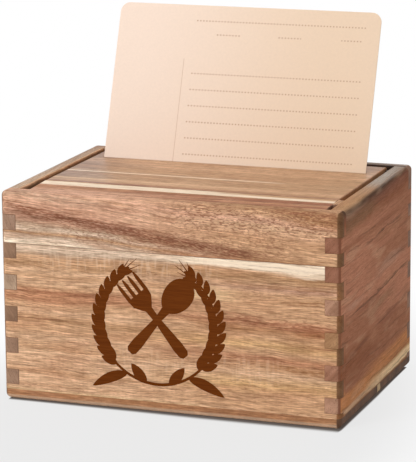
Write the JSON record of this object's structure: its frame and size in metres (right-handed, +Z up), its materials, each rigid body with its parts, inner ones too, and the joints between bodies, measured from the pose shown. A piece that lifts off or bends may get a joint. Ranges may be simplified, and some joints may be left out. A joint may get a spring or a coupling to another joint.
{
  "type": "recipe card box",
  "caption": "Finger-jointed hardwood card box with an inset lid that hinges on hidden pins and a leaning slot in it that holds one card upright for reading.",
  "frame": {"origin": "on the tabletop, under the middle of the case and of the whole part's box", "axes": "+X across the front to the right, +Y from the front to the back, +Z up"},
  "size_m": [0.188, 0.134, 0.1965],
  "materials": {
    "front_oiled_acacia": "oiled, satin",
    "back_oiled_acacia": "oiled, satin",
    "side_oiled_acacia": "oiled, satin",
    "base_oiled_acacia": "oiled, satin",
    "rail_oiled_acacia": "oiled, satin",
    "lid_oiled_acacia": "oiled, satin",
    "acacia_sapwood": "oiled, satin",
    "cleat_oiled_acacia": "oiled, satin",
    "pin_steel": "ground",
    "card_stock": "uncoated, matte"
  },
  "bodies": {
    "case": {"front_board_upper": "front_oiled_acacia", "front_board_lower": "front_oiled_acacia", "back_board_upper": "back_oiled_acacia", "back_board_lower": "back_oiled_acacia", "side_board_left": "side_oiled_acacia", "side_board_right": "side_oiled_acacia", "base_plank_front": "base_oiled_acacia", "base_plank_rear": "base_oiled_acacia", "front_rail": "rail_oiled_acacia", "front_rail_lip": "acacia_sapwood", "rail_packer": "lid_oiled_acacia", "cleat_left": "cleat_oiled_acacia", "cleat_right": "cleat_oiled_acacia", "hinge_pin_left": "pin_steel", "hinge_pin_right": "pin_steel"},
    "lid": {"lid_stave_front": "lid_oiled_acacia", "lid_stave_second": "lid_oiled_acacia", "lid_stave_third": "lid_oiled_acacia", "lid_stave_rear": "lid_oiled_acacia", "card_rail": "cleat_oiled_acacia"},
    "card": {"display_card": "card_stock"}
  },
  "joints": [
    {"name": "lid_hinge", "type": "hinge", "parent": "case", "child": "lid", "pos_m": [0, 0.0545, 0.1103], "axis": [-1, 0, 0], "range_deg": [0, 104]},
    {"name": "card_lift", "type": "slide", "parent": "lid", "child": "card", "axis": [0, 0.342, 0.9397], "range_m": [0, 0.016]}
  ]
}
